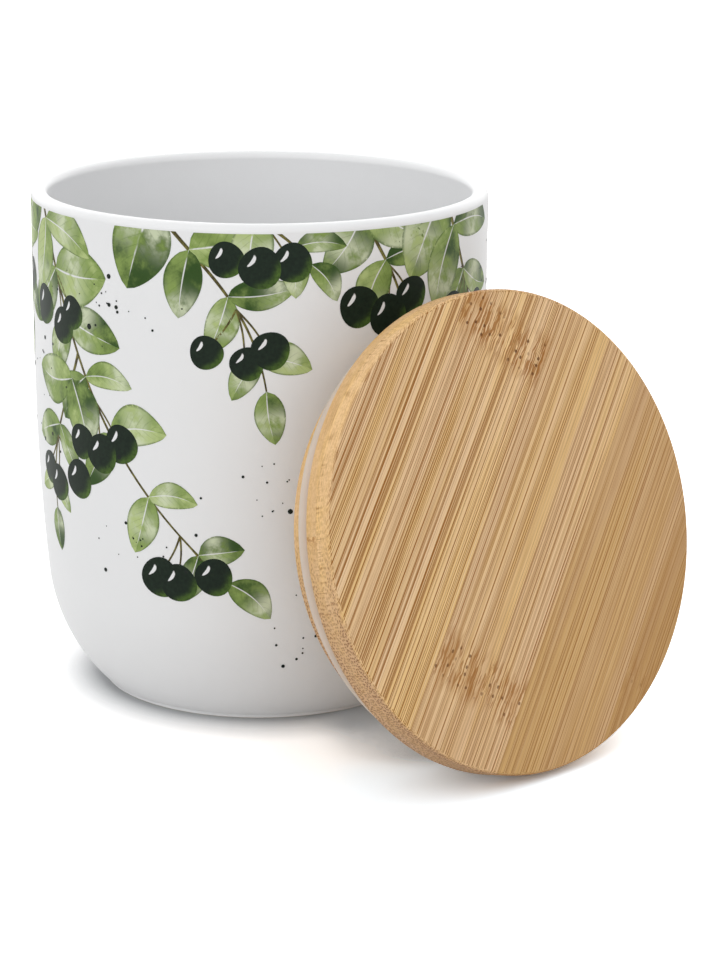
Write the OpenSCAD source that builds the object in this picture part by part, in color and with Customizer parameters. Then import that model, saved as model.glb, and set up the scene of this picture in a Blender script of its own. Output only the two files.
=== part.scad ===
// Porcelain storage jar with a laminated bamboo lid. The lid is taken off, stands
// on its edge beside the jar and leans on the jar's wall.
// The jar's axis is Z, and the origin is the middle of its foot on the table.
// The front of the jar faces -Y.

/* [Jar] */
// Outer diameter of the upright part of the wall
jar_d = 110; // [100:1:125]
// Height from the table to the top of the rim
jar_h = 122; // [110:1:150]
// Thickness of the wall, and so of the full-round rim
wall_t = 4; // [3:0.25:5]
// Height above which the wall is upright
belly_z = 80; // [70:1:95]
// Radius of the slight curve that draws the wall in below that
wall_arc_r = 580; // [450:10:900]
// Height at which the wall turns in towards the foot
turn_z = 28; // [22:1:34]
// Radius of that turn
turn_r = 43.5; // [40:0.5:50]
// Thickness of the floor
floor_t = 5; // [3.5:0.5:8]
// Radius of the corner between floor and wall, inside
floor_corner_r = 14; // [6:1:20]

/* [Foot ring] */
// Distance from the edge of the pot's underside in to the foot ring
foot_inset = 0.56; // [0.4:0.02:4]
// Height of the foot ring
foot_h = 1.1; // [0.8:0.1:2.5]
// Width of the ring
foot_w = 3.4; // [2.5:0.1:5]
// Radius of its two lower edges
foot_edge_r = 0.4; // [0.2:0.1:0.5]

/* [Lid] */
// Distance by which the edge of the disc stands in from the outside of the jar
disc_inset = 0.25; // [-3:0.05:3]
// Thickness of one layer of the disc, which has two
disc_layer_t = 3.9; // [3:0.1:5]
// Gap between the plug and the mouth, which the seal closes
plug_gap = 3.75; // [2.5:0.05:5]
// Thickness of one layer of the plug, which has three
plug_layer_t = 4.6; // [4:0.1:5.5]
// Radius of the eased edges of the disc
disc_edge_r = 0.8; // [0.4:0.1:1.5]
// Radius of the eased lower edge of the plug
plug_edge_r = 0.6; // [0.3:0.1:1.5]
// Width of one bamboo lamella
lamella_w = 26.7; // [20:0.1:30]
// Angle by which the grain leans to the right of upright, on the leaning lid
grain_turn = 38; // [0:0.1:90]

/* [Seal] */
// Height of the silicone ring
seal_h = 3.6; // [2.4:0.1:4.5]
// Distance from the disc's underside down to the middle of the ring
seal_drop = 6; // [4:0.1:8]
// Depth of the groove that holds the ring, in the side of the plug
groove_depth = 2.4; // [1.5:0.1:4]
// Play of the ring in its groove
seal_fit = 0.1; // [0.05:0.01:0.2]
// Amount by which the closed mouth squeezes the ring's radius
seal_squeeze = 0.3; // [0.1:0.05:0.8]

/* [How the lid leans] */
// Tilt of the lid's face from upright
lean = 15.3; // [8:0.1:25]
// Turn of the face from the front towards the right
lid_heading = 38.9; // [0:0.1:60]
// Distance by which the lid stands to the right of the jar's middle, seen along its face
lid_slide = 2.6; // [-15:0.1:15]
// Gap left between the leaning lid and the wall
lean_gap = 0.3; // [0.2:0.05:0.6]

/* [Hidden] */
$fn = 96;
jar_r = jar_d / 2;
rim_r = wall_t / 2;
rim_z = jar_h - rim_r;
mouth_r = jar_r - wall_t;
floor_z = foot_h + floor_t;
disc_t = 2 * disc_layer_t;
disc_r = jar_r - disc_inset;
plug_h = 3 * plug_layer_t;
plug_r = mouth_r - plug_gap;
seal_r = mouth_r + seal_squeeze;
groove_r = plug_r - groove_depth;
// Past every piece, for cuts that run right through
far = jar_d + jar_h;
// Most that the straight steps of an arc may fall inside it
chord_gap = 0.015;

// The wall's outline is a line and two arcs, each tangent to the next.
turn_a = asin((belly_z - turn_z) / wall_arc_r);
long_centre = [jar_r - wall_arc_r, belly_z];
turn_centre = long_centre + (wall_arc_r - turn_r) * [cos(turn_a), -sin(turn_a)];
// Half-width of the outline at height z, from the foot ring up to the rim
function wall_r(z) =
    z > rim_z ? jar_r - rim_r + sqrt(max(0, pow(rim_r, 2) - pow(z - rim_z, 2))) :
    z > belly_z ? jar_r :
    z > turn_z ? long_centre.x + sqrt(pow(wall_arc_r, 2) - pow(z - long_centre.y, 2)) :
    turn_centre.x + sqrt(max(0, pow(turn_r, 2) - pow(z - turn_centre.y, 2)));
foot_r = wall_r(foot_h) - foot_inset;

// Layers of the lid from the face down, each [name, top, thickness, radius, first joint].
// Heights are from the underside of the disc, which rests on the rim when the jar is shut.
// The joints between lamellae are staggered from layer to layer.
LAYERS = [
    ["lid_face", disc_t, disc_layer_t, disc_r, -0.345],
    ["lid_back", disc_layer_t, disc_layer_t, disc_r, 0.2],
    ["plug_upper", 0, plug_layer_t, plug_r, 0],
    ["plug_middle", -plug_layer_t, plug_layer_t, plug_r, 0.5],
    ["plug_lower", -2 * plug_layer_t, plug_layer_t, plug_r, 0]
];
// Least width of the outermost lamella of a layer
least_w = 5.5;
// Places of the glue joints across a layer, from edge to edge
function joints(layer) = let (r = layer[3], n = ceil(r / lamella_w) + 1) concat(
    [-r],
    [for (k = [-n : n]) let (c = (k + layer[4]) * lamella_w) if (abs(c) < r - least_w) c],
    [r]
);
LAMELLAE = [for (layer = LAYERS) let (j = joints(layer)) for (i = [0 : len(j) - 2])
    [str(layer[0], "_lamella_", i + 1), layer, j[i], j[i + 1]]];

// Rings of the lid that can meet the jar's wall, each [radius, height in the lid]
CONTACT_RINGS = [[disc_r, 0], [seal_r, -seal_drop], [plug_r, -plug_h]];
// Height of the middle of the disc's underside when the disc's edge stands on the table
lid_z = (disc_r - disc_edge_r) * cos(lean) + disc_edge_r * (1 - sin(lean));
// Part of each ring, either side of its top, that is measured against the wall
contact_span = 75;
// Angle between the points measured there
contact_step = 3;
// Halvings of the distance in the search for the lid's place
seat_steps = 24;
// Least gap between the rings and the wall when the lid's middle is d in front of the axis
function gap_at(d) = min([for (ring = CONTACT_RINGS, a = [-contact_span : contact_step : contact_span])
    let (
        x = lid_slide + ring[0] * sin(a),
        y = -d + ring[0] * cos(a) * sin(lean) - ring[1] * cos(lean),
        z = lid_z + ring[0] * cos(a) * cos(lean) + ring[1] * sin(lean)
    )
    z < jar_h && z > foot_h ? norm([x, y]) - wall_r(z) : far]);
// Nearest distance in front of the axis at which that gap is left
function seat(near, away, steps) = steps == 0 ? away :
    let (mid = (near + away) / 2)
    gap_at(mid) > lean_gap ? seat(near, mid, steps - 1) : seat(mid, away, steps - 1);
lid_y = -seat(jar_r / 2, jar_r + 2 * disc_r, seat_steps);

// Part of a disc between two directions, in the plane
module sector(centre, r, from, to) {
    reach = 2 * r;
    middle = (from + to) / 2;
    intersection() {
        translate(centre) circle(r);
        polygon([
            centre,
            centre + reach * [cos(from), sin(from)],
            centre + reach * [cos(middle), sin(middle)],
            centre + reach * [cos(to), sin(to)]
        ]);
    }
}

// Points of an arc from one direction to another, without its last point, which is
// the first point of what follows
function arc(centre, r, from, to) =
    let (n = ceil(abs(to - from) / (2 * acos(1 - chord_gap / r))))
    [for (i = [0 : n - 1]) let (a = from + (to - from) * i / n) centre + r * [cos(a), sin(a)]];

// Half outline of the pot from its floor to the straight top of its wall
module pot_outline() {
    inner_turn_r = turn_r - wall_t;
    under_a = asin((turn_centre.y - foot_h) / turn_r);
    corner_a = asin((turn_centre.y - floor_z - floor_corner_r) / (inner_turn_r - floor_corner_r));
    corner_centre = turn_centre + (inner_turn_r - floor_corner_r) * [cos(corner_a), -sin(corner_a)];
    polygon(concat(
        [[0, foot_h]],
        arc(turn_centre, turn_r, -under_a, -turn_a),
        arc(long_centre, wall_arc_r, -turn_a, 0),
        [[jar_r, belly_z], [jar_r, rim_z], [mouth_r, rim_z]],
        arc(long_centre, wall_arc_r - wall_t, 0, -turn_a),
        arc(turn_centre, inner_turn_r, -turn_a, -corner_a),
        arc(corner_centre, floor_corner_r, -corner_a, -90),
        [[corner_centre.x, floor_z], [0, floor_z]]
    ));
}

// Half outline of the foot ring, with its top inside the floor
module foot_outline() {
    inner = foot_r - foot_w;
    translate([inner, foot_edge_r]) square([foot_w, foot_h]);
    translate([inner + foot_edge_r, 0]) square([foot_w - 2 * foot_edge_r, foot_edge_r]);
    sector([foot_r - foot_edge_r, foot_edge_r], foot_edge_r, -90, 0);
    sector([inner + foot_edge_r, foot_edge_r], foot_edge_r, 180, 270);
}

module jar_body() {
    color("whitesmoke") rotate_extrude() {
        pot_outline();
        sector([jar_r - rim_r, rim_z], rim_r, 0, 180);
        foot_outline();
    }
}

// Puts a piece of the lid, drawn with the disc's underside on z = 0 and its grain
// along Y, where the lid leans on the jar.
module leaning() {
    rotate([0, 0, lid_heading])
        translate([lid_slide, lid_y, lid_z])
            rotate([90 - lean, 0, 0])
                rotate([0, 0, -grain_turn])
                    children();
}

// Half outline of the whole lid without its seal
module lid_outline() {
    flat = disc_t - disc_edge_r;
    translate([0, disc_edge_r]) square([disc_r, disc_t - 2 * disc_edge_r]);
    square([disc_r - disc_edge_r, disc_edge_r]);
    translate([0, flat]) square([disc_r - disc_edge_r, disc_edge_r]);
    sector([disc_r - disc_edge_r, disc_edge_r], disc_edge_r, -90, 0);
    sector([disc_r - disc_edge_r, flat], disc_edge_r, 0, 90);
    difference() {
        union() {
            translate([0, plug_edge_r - plug_h]) square([plug_r, plug_h - plug_edge_r]);
            translate([0, -plug_h]) square([plug_r - plug_edge_r, plug_edge_r]);
            sector([plug_r - plug_edge_r, plug_edge_r - plug_h], plug_edge_r, -90, 0);
        }
        translate([groove_r, -seal_drop - seal_h / 2 - seal_fit])
            square([far, seal_h + 2 * seal_fit]);
    }
}

// One strip of one layer, between two glue joints
module lamella(layer, left, right) {
    color("burlywood") leaning() intersection() {
        rotate_extrude() intersection() {
            lid_outline();
            translate([0, layer[1] - layer[2]]) square([far, layer[2]]);
        }
        translate([left, -far, -far]) cube([right - left, 2 * far, 2 * far]);
    }
}

module lid_seal() {
    nose_r = seal_h / 2;
    color("mistyrose") leaning() rotate_extrude() {
        translate([groove_r + seal_fit, -seal_drop - nose_r])
            square([seal_r - nose_r - groove_r - seal_fit, seal_h]);
        sector([seal_r - nose_r, -seal_drop], nose_r, -90, 90);
    }
}

jar_body();
lid_seal();
for (l = LAMELLAE) lamella(l[1], l[2], l[3]);
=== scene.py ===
import math
import random

import bmesh
import bpy
from mathutils import Matrix, Vector
from mathutils.geometry import interpolate_bezier


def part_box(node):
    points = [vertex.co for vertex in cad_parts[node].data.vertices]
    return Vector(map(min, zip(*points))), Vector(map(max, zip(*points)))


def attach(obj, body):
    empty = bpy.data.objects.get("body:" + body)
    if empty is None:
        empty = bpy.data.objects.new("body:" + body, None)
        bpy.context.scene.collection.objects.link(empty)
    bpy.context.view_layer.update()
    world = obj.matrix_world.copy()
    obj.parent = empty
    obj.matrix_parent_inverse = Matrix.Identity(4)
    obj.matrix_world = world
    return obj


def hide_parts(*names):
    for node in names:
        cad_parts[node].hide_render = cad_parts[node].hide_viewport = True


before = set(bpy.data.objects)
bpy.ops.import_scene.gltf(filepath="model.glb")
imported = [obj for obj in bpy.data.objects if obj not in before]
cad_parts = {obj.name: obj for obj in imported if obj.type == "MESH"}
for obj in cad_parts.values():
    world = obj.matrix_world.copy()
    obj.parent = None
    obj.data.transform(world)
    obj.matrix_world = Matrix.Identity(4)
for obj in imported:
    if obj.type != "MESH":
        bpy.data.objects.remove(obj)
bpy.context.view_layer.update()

# The camera. It stands in front of the jar with a long lens and looks down on it a little.
# Its place and its turns come from a fit to the outlines of the jar and the lid.
MM = 0.001
image_h = 960
focal_in_pixels = 2826.4
camera_place = (0, -675 * MM, 235.1 * MM)
camera_yaw = math.radians(2.082)
camera_pitch = math.radians(15.477)
camera_roll = math.radians(0.412)
camera_data = bpy.data.cameras.new("camera")
camera_data.sensor_width = 36
camera_data.lens = camera_data.sensor_width * focal_in_pixels / image_h
camera = bpy.data.objects.new("camera", camera_data)
bpy.context.scene.collection.objects.link(camera)
bpy.context.scene.camera = camera
camera.matrix_world = (
    Matrix.Translation(camera_place)
    @ Matrix.Rotation(-camera_yaw, 4, "Z")
    @ Matrix.Rotation(math.pi / 2 - camera_pitch, 4, "X")
    @ Matrix.Rotation(camera_roll, 4, "Z")
)

# The jar. One piece of slip-cast porcelain with a full-round rim, on a low foot ring.
# A satin white glaze covers it, and only the ring's lower face is left bare for the kiln.
_, jar_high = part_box("jar_body")
solid_r = jar_high.x / MM
# The wall keeps this far inside its solid, so that the print on it has room.
print_room = 0.1
jar_r = solid_r - print_room
jar_h = jar_high.z / MM
wall_t = 4
rim_r = wall_t / 2
# From the rim the wall is upright down to the belly, draws in on a long radius, and then turns
# under on a short one.
belly_z = 80
long_r = 580
turn_z = 28
turn_r = 43.5
turn_a = math.asin((belly_z - turn_z) / long_r)
long_centre = Vector((jar_r - long_r, belly_z))
turn_centre = long_centre + (long_r - turn_r) * Vector((math.cos(turn_a), -math.sin(turn_a)))
round_steps = 256
sharp_a = math.radians(35)


def wall_r(z):
    """Radius of the wall's outside at a height, both in millimetres."""
    if z >= belly_z:
        return jar_r
    centre, r = (long_centre, long_r) if z > turn_z else (turn_centre, turn_r)
    return centre.x + math.sqrt(r ** 2 - (z - centre.y) ** 2)


def arc(centre, r, start, end, steps):
    """Points of an arc between two directions in radians, with both ends."""
    turns = [start + (end - start) * i / steps for i in range(steps + 1)]
    return [Vector((centre[0] + r * math.cos(a), centre[1] + r * math.sin(a))) for a in turns]


def eased(corners):
    """The outline through (x, y, radius) corners, each rounded by its radius."""
    steps = 5
    nearly_straight = 3.1
    points = [Vector(corner[:2]) for corner in corners]
    outline = [points[0]]
    for before, here, after, corner in zip(points, points[1:], points[2:], corners[1:]):
        r = corner[2]
        back = (before - here).normalized()
        on = (after - here).normalized()
        if r == 0 or back.angle(on) > nearly_straight:
            outline.append(here)
            continue
        half = back.angle(on) / 2
        centre = here + (back + on).normalized() * r / math.sin(half)
        reach = r / math.tan(half)
        first = here + back * reach - centre
        last = here + on * reach - centre
        for i in range(steps + 1):
            outline.append(centre + r * first.slerp(last, i / steps).normalized())
    return outline + [points[-1]]


def turned(outline, closed=False):
    """A bmesh spun about Z from a half outline in millimetres."""
    bm = bmesh.new()
    verts = [bm.verts.new((x * MM, 0, y * MM)) for x, y in outline]
    ends = verts[1:] + verts[:1] if closed else verts[1:]
    edges = [bm.edges.new(pair) for pair in zip(verts, ends)]
    bmesh.ops.spin(bm, geom=verts + edges, cent=(0, 0, 0), axis=(0, 0, 1), angle=math.tau,
                   steps=round_steps, use_merge=True)
    bmesh.ops.remove_doubles(bm, verts=bm.verts, dist=MM / 1000)
    bmesh.ops.recalc_face_normals(bm, faces=bm.faces)
    return bm


def piece(name, bm, finish, body):
    """Makes an object of a bmesh, with its finish and the body that it rides on."""
    mesh = bpy.data.meshes.new(name)
    bm.to_mesh(mesh)
    bm.free()
    mesh.materials.append(finish.material)
    mesh.shade_smooth()
    mesh.set_sharp_from_angle(angle=sharp_a)
    made = bpy.data.objects.new(name, mesh)
    bpy.context.scene.collection.objects.link(made)
    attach(made, body)
    return made


class Value:
    """An output of a shader node. Sums and products of it add the Math nodes that they need."""

    def __init__(self, finish, socket):
        self.finish = finish
        self.socket = socket

    def math(self, operation, *others):
        return self.finish.node("Math", {"operation": operation}, dict(enumerate((self, *others))))

    def swapped(self, operation, other):
        return self.finish.node("Math", {"operation": operation}, {0: other, 1: self})

    def __add__(self, other):
        return self.math("ADD", other)

    def __radd__(self, other):
        return self.swapped("ADD", other)

    def __sub__(self, other):
        return self.math("SUBTRACT", other)

    def __rsub__(self, other):
        return self.swapped("SUBTRACT", other)

    def __mul__(self, other):
        return self.math("MULTIPLY", other)

    def __rmul__(self, other):
        return self.swapped("MULTIPLY", other)

    def __truediv__(self, other):
        return self.math("DIVIDE", other)

    def __pow__(self, other):
        return self.math("POWER", other)

    def __rpow__(self, other):
        return self.swapped("POWER", other)

    def __abs__(self):
        return self.math("ABSOLUTE")


class Finish:
    """A material, with the nodes that its maker adds to it."""

    def __init__(self, name, **constants):
        self.material = bpy.data.materials.new(name)
        self.material.use_nodes = True
        self.tree = self.material.node_tree
        self.shader = self.tree.nodes["Principled BSDF"]
        for socket, value in constants.items():
            self.shader.inputs[socket.replace("_", " ")].default_value = value

    def node(self, kind, settings=None, inputs=None, output=0):
        """Adds a node, sets it up, feeds its sockets with values or links, and gives an output."""
        node = self.tree.nodes.new("ShaderNode" + kind)
        for name, value in (settings or {}).items():
            setattr(node, name, value)
        for name, value in (inputs or {}).items():
            if isinstance(value, Value):
                self.tree.links.new(value.socket, node.inputs[name])
            else:
                node.inputs[name].default_value = value
        return Value(self, node.outputs[output])

    def mix(self, factor, a, b):
        """A colour from a, at factor 0, to b, at factor 1."""
        # The node takes its colours in sockets 6 and 7 and gives the mixed one in output 2.
        ends = [end if isinstance(end, Value) else (*end, 1) for end in (a, b)]
        return self.node("Mix", {"data_type": "RGBA"}, {0: factor, 6: ends[0], 7: ends[1]}, 2)

    def between(self, value, start, end):
        """0 at start, 1 at end and a smooth ramp between, whichever of the two is greater."""
        return self.node("MapRange", {"interpolation_type": "SMOOTHSTEP"}, {0: value, 1: start, 2: end})

    def feed(self, **links):
        """Links values to the sockets of the shader."""
        for socket, value in links.items():
            self.tree.links.new(value.socket, self.shader.inputs[socket.replace("_", " ")])

    def bump(self, height, depth):
        """Feeds the shader's normal with a relief of that depth in millimetres."""
        self.feed(Normal=self.node("Bump", inputs={"Height": height, "Distance": depth * MM}))


def in_millimetres(finish):
    """The place on the piece in millimetres, as a vector."""
    place = finish.node("TexCoord", output="Object")
    return finish.node("VectorMath", {"operation": "SCALE"}, {0: place, "Scale": 1 / MM})


# The foot ring stands in from the wall, and its hollow is as high as the ring.
foot_inset = 0.56
foot_h = 1.1
foot_w = 3.4
foot_edge_r = 0.4
hollow_edge_r = 0.5
foot_root_r = 0.2
# The turn's arc starts this far up, in radians, from where it would meet the foot's height.
foot_root_a = 0.03
floor_t = 5
floor_corner_r = 14
foot_r = wall_r(foot_h) - foot_inset
floor_z = foot_h + floor_t
inner_turn_r = turn_r - wall_t
start_a = foot_root_a - math.asin((turn_centre.y - foot_h) / turn_r)
corner_a = math.asin((turn_centre.y - floor_z - floor_corner_r) / (inner_turn_r - floor_corner_r))
corner_centre = turn_centre + (inner_turn_r - floor_corner_r) * Vector(
    (math.cos(corner_a), -math.sin(corner_a)))
outer_turn = arc(turn_centre, turn_r, start_a, -turn_a, steps=20)
foot_outline = eased([
    (0, foot_h, 0),
    (foot_r - foot_w, foot_h, hollow_edge_r),
    (foot_r - foot_w, 0, foot_edge_r),
    (foot_r, 0, foot_edge_r),
    (foot_r, foot_h, foot_root_r),
    (wall_r(foot_h), foot_h, foot_root_r),
    (*outer_turn[0], 0),
])
pot_outline = (
    foot_outline
    + outer_turn[1:]
    + arc(long_centre, long_r, -turn_a, 0, steps=10)[1:]
    + arc((jar_r - rim_r, jar_h - rim_r), rim_r, 0, math.pi, steps=16)
    + arc(long_centre, long_r - wall_t, 0, -turn_a, steps=10)
    + arc(turn_centre, inner_turn_r, -turn_a, -corner_a, steps=8)[1:]
    + arc(corner_centre, floor_corner_r, -corner_a, -math.pi / 2, steps=14)[1:]
    + [Vector((0, floor_z))]
)

glaze = Finish("satin_glaze", Specular_IOR_Level=0.45, Coat_Weight=0.15, Coat_Roughness=0.25)
place = in_millimetres(glaze)
above_table = glaze.node("SeparateXYZ", inputs={0: place}, output="Z")
bare = glaze.between(above_table, 0.3, 0.15)
ripple = glaze.node("TexNoise", inputs={"Vector": place, "Scale": 0.35, "Detail": 2.0})
grit = glaze.node("TexNoise", inputs={"Vector": place, "Scale": 6.0, "Detail": 3.0})
white = glaze.mix(ripple, (0.798, 0.802, 0.809), (0.808, 0.812, 0.818))
bare_clay = (0.72, 0.69, 0.64)
glaze.feed(
    Base_Color=glaze.mix(bare, white, bare_clay),
    Roughness=0.34 + 0.06 * ripple + 0.4 * bare,
)
glaze.bump(ripple + 0.6 * grit * bare, 0.04)
jar = piece("jar", turned(pot_outline), glaze, "jar")
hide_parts("jar_body")

# The print. A decal of green sprays is laid on the glazed wall and fired into it. Round leaves
# and dark berries hang from thin stems, and specks of ink lie between them. The same group of
# stems comes three times round the jar, and the decal is cut straight a little below the rim.
print_gap = 2
ink_t = 0.03
# Each layer of ink stands this far over the one under it, so that what overlaps doesn't merge.
ink_step = 0.004
leaf_level = 4
berry_level = 8
speck_level = 11
stem_tip_w = 0.4
weld = 0.001
repeats = 3
girth = math.tau * jar_r
chance = random.Random(5)
laid = []


def ink(red, green, blue):
    """A colour of ink as a screen gives it, from 0 to 255, in linear light."""
    return tuple(((c / 255 + 0.055) / 1.055) ** 2.4 for c in (red, green, blue))


def free_level(place, reach, least):
    """The lowest layer of ink, from least up, that no motif under this one has taken."""
    taken = set()
    for other, other_reach, level in laid:
        beside = (place.x - other.x + girth / 2) % girth - girth / 2
        if math.hypot(beside, place.y - other.y) < reach + other_reach:
            taken.add(level)
    level = min(set(range(least, least + len(taken) + 1)) - taken)
    laid.append((place, reach, level))
    return level


def new_print():
    """An empty flat print, whose points are in millimetres along the wall, up and off the wall."""
    bm = bmesh.new()
    bm.loops.layers.uv.new("UVMap")
    for name in ("tone", "wash"):
        bm.verts.layers.float.new(name)
    return bm


def patch(bm, columns, rows, level, shape, tone=0.5, wash=0.5):
    """Adds a grid, whose point (a, b), from -1 to 1, shape puts on the wall and on its chart."""
    chart = bm.loops.layers.uv.active
    made = bmesh.ops.create_grid(bm, x_segments=columns, y_segments=rows, size=1)["verts"]
    for vert in made:
        place, on_chart = shape(*vert.co.xy)
        for loop in vert.link_loops:
            loop[chart].uv = [(c + 1) / 2 for c in on_chart]
        vert[bm.verts.layers.float["tone"]] = tone
        vert[bm.verts.layers.float["wash"]] = wash
        vert.co = (*place, (level + 1) * ink_step)
    bmesh.ops.remove_doubles(bm, verts=made, dist=weld)


def in_circle(a, b):
    """Where a point of the square from -1 to 1 goes when the square is rounded to a circle."""
    return Vector((a * math.sqrt(1 - b * b / 2), b * math.sqrt(1 - a * a / 2)))


def stroke(bm, line, wide, narrow, level):
    """A stem of ink along a line of points, thinner towards its end."""

    def shape(a, b):
        i = round((a + 1) / 2 * (len(line) - 1))
        on = line[min(i + 1, len(line) - 1)] - line[max(i - 1, 0)]
        sideways = Vector((-on.y, on.x)).normalized()
        thick = wide + (narrow - wide) * (a + 1) / 2
        return line[i] + sideways * thick / 2 * b, (a, b)

    patch(bm, len(line) - 1, 2, level, shape, chance.random())


def leaf(root, heading, length, width):
    """A round leaf that ends in a short point, with one half a little narrower."""
    fullness = 0.7
    pull_to_root = 0.86
    on = Vector((math.cos(heading), math.sin(heading)))
    sideways = Vector((-on.y, on.x))
    halves = (width / 2 * chance.uniform(0.7, 1), width / 2)
    bend = length * chance.uniform(-0.1, 0.1)

    def shape(a, b):
        share = (a + 1) / 2
        half = math.sin(math.pi * share ** pull_to_root) ** fullness * halves[b > 0]
        off = half * b + bend * math.sin(math.pi * share)
        return root + on * length * share + sideways * off, (a, b)

    level = free_level(root + on * length / 2, length / 2, leaf_level)
    patch(leaves, round(length), 8, level, shape, chance.random(), chance.uniform(0.3, 0.9))


def berry(place, r):
    """A dark berry, not quite round."""
    lump = 0.03
    turn = chance.uniform(0, math.tau)

    def shape(a, b):
        at = in_circle(a, b)
        return place + at * r * (1 + lump * math.sin(3 * math.atan2(at.y, at.x) + turn)), at

    patch(berries, 8, 8, free_level(place, r, berry_level), shape, chance.random())


def leafy(line, pairs, length):
    """Pairs of leaves along a stem, smaller towards its end, and a small leaf at the end."""
    first_at = 0.55
    shrink = 0.45
    last_length = 0.6
    last_width = 0.38
    for i in range(pairs):
        share = (i + first_at) / pairs
        at = round(share * line_steps)
        on = line[min(at + 1, line_steps)] - line[at - 1]
        for hand in (-1, 1):
            heading = math.atan2(on.y, on.x) + hand * math.radians(chance.uniform(42, 68))
            long = length * (1 - shrink * share) * chance.uniform(0.88, 1.08)
            leaf(line[at], heading, long, long * chance.uniform(0.5, 0.78))
    on = line[-1] - line[-2]
    leaf(line[-1], math.atan2(on.y, on.x), length * last_length, length * last_width)


def bunch(root):
    """Three berries that hang from one place, each on a thin stalk with a slight bend."""
    sag = 0.4
    stalk_w = 0.5
    stalk_steps = 8
    past_stalk = 3
    for swing in (-32, 4, 38):
        down = math.radians(-90 + swing + chance.uniform(-8, 8))
        end = root + Vector((math.cos(down), math.sin(down))) * chance.uniform(7, 10)
        stalk = []
        for i in range(stalk_steps + 1):
            share = i / stalk_steps
            stalk.append(root.lerp(end, share) + Vector((sag * math.sin(share * math.pi), 0)))
        stroke(stems, stalk, stalk_w, stem_tip_w, leaf_level)
        berry(end + (end - root).normalized() * past_stalk, chance.uniform(3.9, 5))


def speckle(shift, middle, count, spread):
    """Specks of ink round a place, most of them small, in a cloud that is wider than high."""
    flatness = 0.6
    least_r = 0.14
    mean_more = 0.16
    most_r = 0.9
    for i in range(count):
        across = chance.gauss(middle[0], spread)
        place = shift + Vector((across, chance.gauss(middle[1], spread * flatness)))
        r = min(least_r + mean_more * chance.expovariate(1), most_r)
        patch(specks, 2, 2, speck_level, lambda a, b: (place + r * in_circle(a, b), (a, b)))


stems, leaves, berries, specks = (new_print() for i in range(4))
line_steps = 100
# The stems of a group: the root, which is a place or a share of the first stem's length, three
# more points from there, the thickness, the pairs of leaves, the length of the first leaf, and
# the shares of its length at which berries hang.
group = [
    ((-70, 132), ((14, -22), (20, -58), (62, -94)), 1.1, 8, 22, (0.33, 0.62, 0.9)),
    (0.52, ((-4, -12), (-14, -22), (-13, -40)), 0.9, 3, 18, (0.6,)),
    ((-28, 132), ((8, -16), (26, -22), (30, -48)), 1.1, 4, 21, (0.7,)),
    ((24, 132), ((-3, -14), (14, -22), (11, -40)), 1.1, 3, 20, (0.55,)),
    ((-6, 128), ((6, -6), (12, -8), (17, -15)), 1.1, 2, 18, (0.3,)),
]
# The middle of each cloud of specks, how many it has, and how far they spread.
clouds = [
    ((-38, 100), 26, 9),
    ((-30, 44), 16, 10),
    ((2, 62), 14, 8),
    ((40, 66), 22, 12),
    ((14, 26), 14, 7),
    ((-64, 84), 8, 6),
]
for repeat in range(repeats):
    shift = Vector((repeat * girth / repeats, 0))
    lines = []
    for start, reach, thick, pairs, length, fruits in group:
        if isinstance(start, tuple):
            root = Vector(start) + shift + Vector((chance.uniform(-1, 1), 0))
        else:
            root = lines[0][round(start * line_steps)]
        curve = [root.to_3d()] + [(root + Vector(point)).to_3d() for point in reach]
        line = [point.xy for point in interpolate_bezier(*curve, line_steps + 1)]
        stroke(stems, line, thick, stem_tip_w, len(lines) % leaf_level)
        leafy(line, pairs, length)
        for fruit in fruits:
            bunch(line[round(fruit * line_steps)])
        lines.append(line)
    for middle, count, spread in clouds:
        speckle(shift, middle, count, spread)


def fired(name, bm, finish):
    """Cuts a flat print at its top edge, wraps it round the wall and gives the ink its thickness."""
    bmesh.ops.bisect_plane(
        bm, geom=bm.verts[:] + bm.edges[:] + bm.faces[:], dist=weld,
        plane_co=(0, jar_h - print_gap, 0), plane_no=(0, 1, 0), clear_outer=True)
    for vert in bm.verts:
        turn = vert.co.x / jar_r
        r = wall_r(vert.co.y) + vert.co.z
        vert.co = MM * Vector((r * math.sin(turn), -r * math.cos(turn), vert.co.y))
    bm.normal_update()
    bmesh.ops.solidify(bm, geom=bm.faces[:], thickness=-ink_t * MM)
    piece(name, bm, finish, "jar")


def ink_finish(name):
    """A finish of fired ink, which is less glossy than the glaze under it."""
    return Finish(name, Specular_IOR_Level=0.12)


def chart_of(finish):
    """The two places on a motif's chart, from -1 to 1."""
    at = finish.node("TexCoord", output="UV")
    return [finish.node("SeparateXYZ", inputs={0: at}, output=i) * 2 - 1 for i in range(2)]


def blotches(finish, per_mm, detail=3.0):
    """The unevenness of the ink, as noise with about so many blotches to a millimetre."""
    at = {"Vector": in_millimetres(finish), "Scale": per_mm, "Detail": detail}
    return finish.node("TexNoise", inputs=at)


def bell(value):
    """1 where the value is 0, falling on both sides as a bell does."""
    return math.e ** (-1 * value ** 2)


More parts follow.
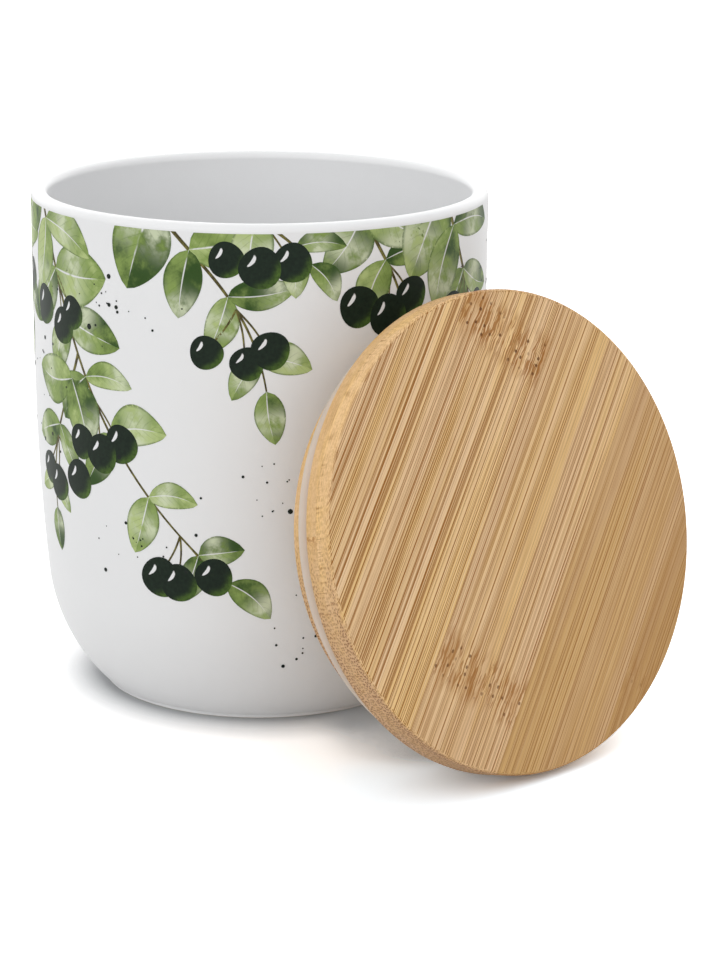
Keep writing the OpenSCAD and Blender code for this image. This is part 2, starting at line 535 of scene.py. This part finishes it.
# A leaf is green from light to deep, with a pale wash in places, darker veins and a darker edge,
# and the glaze shows along its middle rib.
blank = (0.8, 0.803, 0.81)
leaf_ink = ink_finish("leaf_ink")
lengthwise, from_rib = chart_of(leaf_ink)
tone, wash = (
    leaf_ink.node("Attribute", {"attribute_name": name}, output="Fac") for name in ("tone", "wash")
)
share = (lengthwise + 1) / 2
off = abs(from_rib)
grain = blotches(leaf_ink, 1.6)
bloom = blotches(leaf_ink, 0.22, 2.0)
shaded_half = leaf_ink.between(from_rib, -0.04, 0.04)
deep = tone * 0.75 + (bloom - 0.5) * 1.5 + shaded_half * 0.28 + (grain - 0.5) * 0.3
colour = leaf_ink.mix(leaf_ink.between(deep, 0.0, 0.5), ink(178, 194, 130), ink(132, 154, 84))
colour = leaf_ink.mix(leaf_ink.between(deep, 0.45, 1.05), colour, ink(50, 76, 32))
pale = bell((share - wash) / 0.2) * leaf_ink.between(bloom + 0.2 * grain, 0.42, 0.7)
colour = leaf_ink.mix(pale * 0.85, colour, ink(214, 222, 190))
phase = share * 8 - off * 2.2 + grain * 0.3
vein = leaf_ink.between(abs(phase.math("FRACT") - 0.5), 0.4, 0.5) * leaf_ink.between(off, 0.9, 0.3)
colour = leaf_ink.mix(vein * 0.28, colour, ink(56, 84, 40))
edge = leaf_ink.between(off, 0.84, 0.98) * leaf_ink.between(grain, 0.3, 0.5)
colour = leaf_ink.mix(edge * 0.65, colour, ink(60, 86, 40))
rib = leaf_ink.between(off, 0.015 + 0.07 * (1 - share), 0.0) * leaf_ink.between(share, 0.9, 0.75)
colour = leaf_ink.mix(rib * leaf_ink.between(bloom, 0.3, 0.45), colour, blank)
leaf_ink.feed(Base_Color=colour, Roughness=0.36 + 0.08 * grain)

# A berry is nearly black, with a green glow at its lower right and a bare, bent spot for its
# shine at the upper left.
berry_ink = ink_finish("berry_ink")
right, up = chart_of(berry_ink)
grain = blotches(berry_ink, 1.2)
out = (right ** 2 + up ** 2) ** 0.5
lower_right = berry_ink.between(right * 0.7 - up * 0.7, 0.2, 0.9)
glow = lower_right * berry_ink.between(out, 0.45, 0.9) * grain * 1.4
colour = berry_ink.mix(grain, ink(14, 22, 17), ink(34, 48, 36))
colour = berry_ink.mix(glow, colour, ink(80, 108, 44))
shine_x = right + 0.36
shine_y = up - 0.3
on_shine = (shine_x * 0.6 + shine_y * 0.8) / 0.36
off_shine = (shine_x * 0.8 - shine_y * 0.6 + 0.9 * shine_y ** 2) / 0.1
shine = berry_ink.between(on_shine ** 2 + off_shine ** 2 + grain * 0.6, 1.3, 0.9)
berry_ink.feed(Base_Color=berry_ink.mix(shine, colour, blank), Roughness=0.34 + 0.08 * grain)

stem_ink = ink_finish("stem_ink")
across_stem = chart_of(stem_ink)[1]
grain = blotches(stem_ink, 0.6)
colour = stem_ink.mix(stem_ink.between(grain, 0.35, 0.65), ink(128, 122, 66), ink(74, 66, 40))
colour = stem_ink.mix(stem_ink.between(across_stem, -0.2, 0.6) * 0.5, colour, ink(60, 56, 34))
stem_ink.feed(Base_Color=colour, Roughness=0.36 + 0.08 * grain)

speck_ink = ink_finish("speck_ink")
grain = blotches(speck_ink, 2.0)
colour = speck_ink.mix(grain, ink(12, 16, 14), ink(40, 48, 42))
speck_ink.feed(Base_Color=colour, Roughness=0.36 + 0.08 * grain)

fired("print_stems", stems, stem_ink)
fired("print_leaves", leaves, leaf_ink)
fired("print_berries", berries, berry_ink)
fired("print_specks", specks, speck_ink)

# The bamboo lid. Strips of bamboo, planed and glued side by side in five layers, are turned to
# a disc that covers the rim and a plug that enters the mouth, then sanded and oiled. Each strip
# is a piece of its own, and the grain of all of them runs the same way.
lean = math.radians(15.3)
heading = math.radians(38.9)
grain_turn = math.radians(38)
disc_inset = 0.25
disc_layer_t = 3.9
disc_edge_r = 0.8
disc_r = solid_r - disc_inset
disc_t = 2 * disc_layer_t
mouth_r = solid_r - wall_t
plug_gap = 3.75
plug_layer_t = 4.6
plug_edge_r = 0.6
plug_r = mouth_r - plug_gap
# The groove of the sealing ring, whose middle lies seal_drop below the disc
seal_h = 3.6
seal_drop = 6
seal_fit = 0.1
groove_depth = 2.4
lip_edge_r = 0.15
groove_r = plug_r - groove_depth
groove_top = seal_h / 2 + seal_fit - seal_drop
groove_low = -seal_h / 2 - seal_fit - seal_drop
lid_turn = (
    Matrix.Rotation(heading, 4, "Z")
    @ Matrix.Rotation(math.pi / 2 - lean, 4, "X")
    @ Matrix.Rotation(-grain_turn, 4, "Z")
)
seal_low, seal_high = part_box("lid_seal")
seal_middle = (seal_low + seal_high) / 2
lid_middle = seal_middle + lid_turn @ Vector((0, 0, seal_drop * MM))
lid_place = Matrix.Translation(lid_middle) @ lid_turn

# The finish reads its place in the lid's own directions: across the strips, along the grain and
# up through the layers. What differs from strip to strip, and which way a face was cut, it
# reads from the mesh.
bamboo = Finish("oiled_bamboo", Specular_IOR_Level=0.14)
on_lid = bamboo.node("Mapping", {"vector_type": "TEXTURE"}, {
    "Vector": bamboo.node("TexCoord", output="Object"),
    "Location": lid_middle,
    "Rotation": lid_turn.to_euler(),
})
on_lid = bamboo.node("VectorMath", {"operation": "SCALE"}, {0: on_lid, "Scale": 1 / MM})
across, along, height = (bamboo.node("SeparateXYZ", inputs={0: on_lid}, output=i) for i in range(3))
tone, contrast, blush, knot_at, knot, depth, end, side = (
    bamboo.node("Attribute", {"attribute_name": name}, output="Fac")
    for name in ("tone", "contrast", "blush", "knot_at", "knot", "depth", "end", "side")
)
face = 1 - side
cut_across = bamboo.between(end, 0.3, 0.85)


def streaks(x, y, z, detail=2.0, rough=0.5):
    """Noise at a place that is given by three values, each in its own measure."""
    place = bamboo.node("CombineXYZ", inputs={0: x, 1: y, 2: z})
    at = {"Vector": place, "Scale": 1.0, "Detail": detail, "Roughness": rough}
    return bamboo.node("TexNoise", inputs=at)


def cells(dimensions, at, randomness=1.0):
    """The distance from the middle of the nearest cell, and a value that each cell draws."""
    settings = {"voronoi_dimensions": dimensions}
    inputs = {**at, "Scale": 1.0, "Randomness": randomness}
    drawn = bamboo.node("TexVoronoi", settings, inputs, output="Color")
    distance = bamboo.node("TexVoronoi", settings, inputs)
    return distance, bamboo.node("SeparateColor", inputs={0: drawn})


# The fibres run along the grain with a slight waver, and swerve round a node of the culm.
from_knot = along - knot_at + 5 * (streaks(across * 0.15, 0.0, height * 0.1) - 0.5)
near_knot = knot * bell(from_knot / 6.5)
waver = streaks(across * 0.03, along * 0.01, height * 0.1) - 0.5
swerve = near_knot * (streaks(across * 0.5, along * 0.3, height * 0.4) - 0.5)
fibre = across + waver + swerve + tone * 57


def fibres(per_mm, half_width, seed):
    """Lines along the grain, at random places across it, each with a strength of its own."""
    from_line, strong = cells("1D", {"W": fibre * per_mm + seed})
    fade = bamboo.between(streaks(fibre * per_mm * 0.7, along * 0.018, seed), 0.3, 0.6)
    line = bamboo.between(from_line, half_width * per_mm, half_width * per_mm * 0.4)
    return line * (0.3 + 0.7 * strong) * (0.3 + 0.7 * fade)


dark_lines = fibres(1.4, 0.078, 0.0) + fibres(0.6, 0.11, 40.0)
bands = fibres(0.22, 1.1, 60.0)
pale_lines = fibres(1.0, 0.14, 80.0)
fine = streaks(fibre * 2.8, along * 0.06, height * 2.8, rough=0.6)
broad = streaks(fibre * 0.13, along * 0.005, height * 0.2)
warm = streaks(fibre * 0.21 + 30, along * 0.01, height * 0.2, detail=3.0)

# Bundles of fibre are dark dots with pale walls on the end grain. They are smaller and closer
# towards the skin of the culm, from which depth is measured.
rows = depth ** 0.6 * 7.5 + 1.1 * (streaks(across * 0.3, along * 0.012, 3.7) - 0.5)
bundle_at = bamboo.node("CombineXYZ", inputs={0: fibre * 1.7, 1: rows})
from_bundle, strong = cells("2D", {"Vector": bundle_at}, 0.8)
bundle = bamboo.between(from_bundle, 0.4, 0.2) * (0.55 + 0.45 * strong)
end_bundle = bundle * cut_across * (1 - 0.5 * depth) * 1.3
long_bundle = bundle * (1 - cut_across) * (1 - 0.85 * side) * 0.5
walls = bamboo.between(from_bundle, 0.36, 0.5) * cut_across
dark = (dark_lines * face * (1 - 0.5 * near_knot) + long_bundle) * (0.1 + 0.9 * contrast)

# Round a node lie short brown flecks in a stain, and dark pits.
knot_zone = bamboo.between(abs(from_knot), 8.0, 3.0) * knot
short_streaks = streaks(fibre * 2.3, along * 0.2, height * 1.1, detail=1.0)
flecks = bamboo.between(short_streaks, 0.52, 0.57) * knot_zone
stain = bamboo.between(streaks(fibre * 0.4, along * 0.1, height * 0.5), 0.45, 0.62) * near_knot
pit_at = bamboo.node("CombineXYZ", inputs={
    0: across * 0.4 + 0.2 * fine,
    1: along * 0.34 + 0.2 * (streaks(across * 1.5, along * 1.5, 0.0) - 0.5),
})
from_pit, drawn = cells("2D", {"Vector": pit_at})
pit_zone = bamboo.between(abs(from_knot), 5.0, 3.5) * knot
pits = bamboo.between(from_pit, 0.17, 0.1) * pit_zone * bamboo.between(drawn, 0.25, 0.5)

pores = streaks(across * 1.6, along * 1.6, height * 2.4, rough=0.6)
mottle = bamboo.between(pores, 0.46, 0.6) * side
glue = bamboo.between(depth, 0.975, 1.0) * side
colour = bamboo.mix(bamboo.between(warm, 0.35, 0.65), (0.84, 0.59, 0.36), (0.86, 0.58, 0.255))
# Each tint goes over the ones before it, as strongly as its mask says.
for mask, tint in (
    (bamboo.between(broad, 0.6, 0.3) * 0.24, (0.50, 0.28, 0.105)),
    (bamboo.between(fine, 0.5, 0.66) * 0.45, (0.86, 0.61, 0.34)),
    (bamboo.between(fine, 0.5, 0.34) * 0.3, (0.47, 0.25, 0.09)),
    (pale_lines * face * 0.8, (0.92, 0.68, 0.40)),
    (cut_across * 0.72, (0.44, 0.25, 0.145)),
    (walls * 0.45, (0.78, 0.53, 0.32)),
    (side * (1 - end) * 0.5, (0.86, 0.54, 0.21)),
    (mottle * (1 - 0.5 * end) * 0.34, (0.52, 0.29, 0.10)),
    (bands * face * contrast * 0.16, (0.46, 0.24, 0.08)),
    (dark * 1.7, (0.29, 0.108, 0.012)),
    (end_bundle, (0.23, 0.10, 0.038)),
    (stain * 0.5, (0.46, 0.215, 0.055)),
    (flecks * 0.85, (0.33, 0.13, 0.025)),
    (pits * 0.9, (0.13, 0.045, 0.01)),
    (blush * 0.4 + glue * 0.3, (0.38, 0.19, 0.06)),
):
    colour = bamboo.mix(mask, colour, tint)
bamboo.feed(Base_Color=colour, Roughness=0.46 + 0.12 * fine + 0.1 * dark)
bamboo.bump(fine * 0.5 - dark - end_bundle - 2 * pits, 0.03)


def marked(bm, name, worth):
    """Writes a value of every vert into the mesh, where the finish reads it by name."""
    mark = bm.verts.layers.float.new(name)
    for vert in bm.verts:
        vert[mark] = worth(vert)


def sawn(outline, left, right, layer_r):
    """A layer's strip between two joints, of which one may be the layer's round edge."""
    bm = turned(outline)
    bm.normal_update()
    marked(bm, "end", lambda vert: abs(vert.normal.y))
    marked(bm, "side", lambda vert: vert.normal.xy.length)
    for joint, outwards in ((left, -1), (right, 1)):
        if abs(joint) < layer_r:
            cut = bmesh.ops.bisect_plane(
                bm, geom=bm.verts[:] + bm.edges[:] + bm.faces[:], dist=MM / 10000,
                plane_co=(joint * MM, 0, 0), plane_no=(outwards, 0, 0), clear_outer=True)
            seam = [part for part in cut["geom_cut"] if isinstance(part, bmesh.types.BMEdge)]
            bmesh.ops.holes_fill(bm, edges=seam)
    return bm


strip_w = 26.7
# A joint that would lie nearer than this to a layer's edge is left out.
least_strip_w = 5.5
# More than any layer has on either side of its middle
most_joints = 4
plug_middle_top = -plug_layer_t
plug_middle_low = -2 * plug_layer_t
plug_low = -3 * plug_layer_t
# Each layer, from the face down: its half outline, the height of the side where the skin of the
# culm was, its thickness, the shift of its joints in strips, and the nodes of the culm that show
# in its strips, as {strip: (place, strength)}
layers = {
    "face": (
        [(0, disc_t, 0), (disc_r, disc_t, disc_edge_r), (disc_r, disc_layer_t, 0),
         (0, disc_layer_t, 0)],
        disc_t, disc_layer_t, -0.345, {2: (38, 1.0), 3: (-35, 0.85), 5: (-15, 0.4)}),
    "back": (
        [(0, disc_layer_t, 0), (disc_r, disc_layer_t, 0), (disc_r, 0, disc_edge_r), (0, 0, 0)],
        0, disc_layer_t, 0.2, {2: (-22, 0.8), 4: (12, 0.7)}),
    "plug_upper": (
        [(0, 0, 0), (plug_r, 0, 0), (plug_r, groove_top, lip_edge_r), (groove_r, groove_top, 0),
         (groove_r, plug_middle_top, 0), (0, plug_middle_top, 0)],
        0, plug_layer_t, 0, {}),
    "plug_middle": (
        [(0, plug_middle_top, 0), (groove_r, plug_middle_top, 0), (groove_r, groove_low, 0),
         (plug_r, groove_low, lip_edge_r), (plug_r, plug_middle_low, 0), (0, plug_middle_low, 0)],
        plug_middle_top, plug_layer_t, 0.5, {}),
    "plug_lower": (
        [(0, plug_middle_low, 0), (plug_r, plug_middle_low, 0), (plug_r, plug_low, plug_edge_r),
         (0, plug_low, 0)],
        plug_low, plug_layer_t, 0, {2: (20, 0.8), 3: (-26, 0.9)}),
}
cad_layers = {"face": "lid_face", "back": "lid_back"}
# How strong the lines of each strip of the face are, and how far it turns to a darker tan
face_looks = {1: (1.25, 0), 2: (1.2, 0), 3: (0.75, 0.2), 4: (0.6, 1.05), 5: (0.65, 1.6)}
chance = random.Random(12)
for layer, (corners, skin, thick, shift, knots) in layers.items():
    outline = eased(corners)
    layer_r = max(corner[0] for corner in corners)
    joints = [(i + shift) * strip_w for i in range(-most_joints, most_joints + 1)]
    joints = [joint for joint in joints if abs(joint) < layer_r - least_strip_w]
    joints = [-layer_r, *joints, layer_r]
    for number, (left, right) in enumerate(zip(joints, joints[1:]), 1):
        bm = sawn(outline, left, right, layer_r)
        marks = {
            "tone": chance.random(),
            "contrast": chance.uniform(0.5, 1),
            "blush": chance.uniform(0, 0.6),
        }
        if layer == "face":
            marks["contrast"], marks["blush"] = face_looks[number]
        marks["knot_at"], marks["knot"] = knots.get(number, (0, 0))
        for name, value in marks.items():
            marked(bm, name, lambda vert: value)
        marked(bm, "depth", lambda vert: abs(skin - vert.co.z / MM) / thick)
        bmesh.ops.transform(bm, matrix=lid_place, verts=bm.verts)
        strip = piece(f"{layer}_strip_{number}", bm, bamboo, "lid")
        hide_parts(f"{cad_layers.get(layer, layer)}_lamella_{number}")

# The sealing ring. A moulded ring of translucent silicone, stretched into the groove of the
# plug, with a round nose that is squeezed when the jar is shut.
seal_squeeze = 0.3
seal_r = mouth_r + seal_squeeze
nose_r = seal_h / 2
seal_outline = [
    Vector((groove_r + seal_fit, -seal_drop - nose_r)),
    *arc((seal_r - nose_r, -seal_drop), nose_r, -math.pi / 2, math.pi / 2, steps=16),
    Vector((groove_r + seal_fit, -seal_drop + nose_r)),
]
silicone = Finish("silicone", Specular_IOR_Level=0.4, Subsurface_Weight=0.3,
                  Subsurface_Radius=(0.004, 0.003, 0.0025), Subsurface_Scale=0.6)
place = in_millimetres(silicone)
haze = silicone.node("TexNoise", inputs={"Vector": place, "Scale": 0.2, "Detail": 3.0})
silicone.feed(
    Base_Color=silicone.mix(haze, (0.58, 0.485, 0.405), (0.65, 0.555, 0.465)),
    Roughness=0.4 + 0.08 * haze,
)
silicone.bump(silicone.node("TexNoise", inputs={"Vector": place, "Scale": 2.5}), 0.01)
bm = turned(seal_outline, closed=True)
bmesh.ops.transform(bm, matrix=lid_place, verts=bm.verts)
seal = piece("sealing_ring", bm, silicone, "lid")
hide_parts("lid_seal")

# The floor and the light. White paper takes the soft shadow of the jar and the lid, and four wide
# lamps light them: from above, from the front left, from the front and from the back. The sky
# gives no light of its own, but the camera and every mirroring surface see it white. What the
# camera sees of the paper also holds painted shade and painted light in its colour.
floor_size = 6
floor_mesh = bmesh.new()
bmesh.ops.create_grid(floor_mesh, x_segments=1, y_segments=1, size=floor_size)
mesh = bpy.data.meshes.new("floor")
floor_mesh.to_mesh(mesh)
floor_mesh.free()
floor = bpy.data.objects.new("floor", mesh)
bpy.context.scene.collection.objects.link(floor)
paper = Finish("floor_paper", Roughness=0.9, Specular_IOR_Level=0.0)


def painted_shade(reach, darkest_at, white_at, darkest):
    """Painted shade: the paper's colour by how much of the sky is open to it, within so many
    millimetres.
    """
    sky_open = paper.node("AmbientOcclusion", {"samples": 48}, {"Distance": reach * MM}, "AO")
    ramp = paper.node("MapRange", inputs={0: sky_open, 1: darkest_at, 2: white_at})
    return paper.mix(ramp, darkest, (1.56, 1.56, 1.56))


# To the eye the paper turns white a little way off from what stands on it, by painted shade in its
# colour. The painted shade round the jar is short, the one in the corner between the jar and the lid is
# deep, and beside the lid painted light lifts and cools its shadow, so that the lid's is faint.
place = in_millimetres(paper)
x, y = (paper.node("SeparateXYZ", inputs={0: place}, output=i) for i in range(2))
# Painted shade: the paper darkens for the camera where near things close off the sky, near the jar and
# deeper in the corner.
jar_painted_shade = painted_shade(25, 0.25, 0.67, (0.45, 0.46, 0.47))
corner = painted_shade(60, 0.29, 0.42, (0.56, 0.60, 0.64))
# Painted light: beside the lid the paper is lighter and bluer for the camera, more so further right, so
# that the lid's shadow shows only faintly.
lid_painted_light = paper.mix(paper.between(x, 60, 95), (1.41, 1.52, 1.61), (1.96, 2.06, 2.16))
beside_jar = paper.between(x, 10, 22)
painted_greys = paper.mix(beside_jar, jar_painted_shade, corner)
painted_greys = paper.mix(beside_jar * paper.between(y, -64, -76), painted_greys, lid_painted_light)
painted_greys = paper.mix(paper.between(x, 38, 44) * paper.between(y, 0, -30), painted_greys, lid_painted_light)
# To the lamps' light it is plain white paper. What mirrors it sees something between the two.
eye, glossy, through = (
    paper.node("LightPath", output=ray)
    for ray in ("Is Camera Ray", "Is Glossy Ray", "Is Transmission Ray")
)
paper.feed(Base_Color=paper.mix(eye + 0.35 * (glossy + through), (0.8, 0.8, 0.8), painted_greys))
mesh.materials.append(paper.material)

world = bpy.data.worlds.new("studio")
bpy.context.scene.world = world
world.use_nodes = True
sky = world.node_tree.nodes["Background"]
sky.inputs["Color"].default_value = (1, 1, 1, 1)
path = world.node_tree.nodes.new("ShaderNodeLightPath")
seen = path.outputs["Is Camera Ray"]
for ray in ("Is Glossy Ray", "Is Transmission Ray"):
    either = world.node_tree.nodes.new("ShaderNodeMath")
    either.operation = "MAXIMUM"
    world.node_tree.links.new(seen, either.inputs[0])
    world.node_tree.links.new(path.outputs[ray], either.inputs[1])
    seen = either.outputs[0]
world.node_tree.links.new(seen, sky.inputs["Strength"])


def lamp(name, towards, power, spread):
    """A far lamp whose light travels towards a direction, as wide as spread in degrees."""
    data = bpy.data.lights.new(name, "SUN")
    data.energy = power
    data.angle = math.radians(spread)
    made = bpy.data.objects.new(name, data)
    made.rotation_mode = "QUATERNION"
    made.rotation_quaternion = Vector(towards).to_track_quat("-Z", "Y")
    bpy.context.scene.collection.objects.link(made)


lamp("dome", (0, 0, -1), 2.52, 170)
lamp("key", (0.7, 0.7, -0.7), 0.52, 70)
lamp("front", (0, 1, -0.5), 0.25, 70)
lamp("back", (0, -1, -0.5), 0.6, 90)
bpy.context.scene.view_settings.view_transform = "Standard"
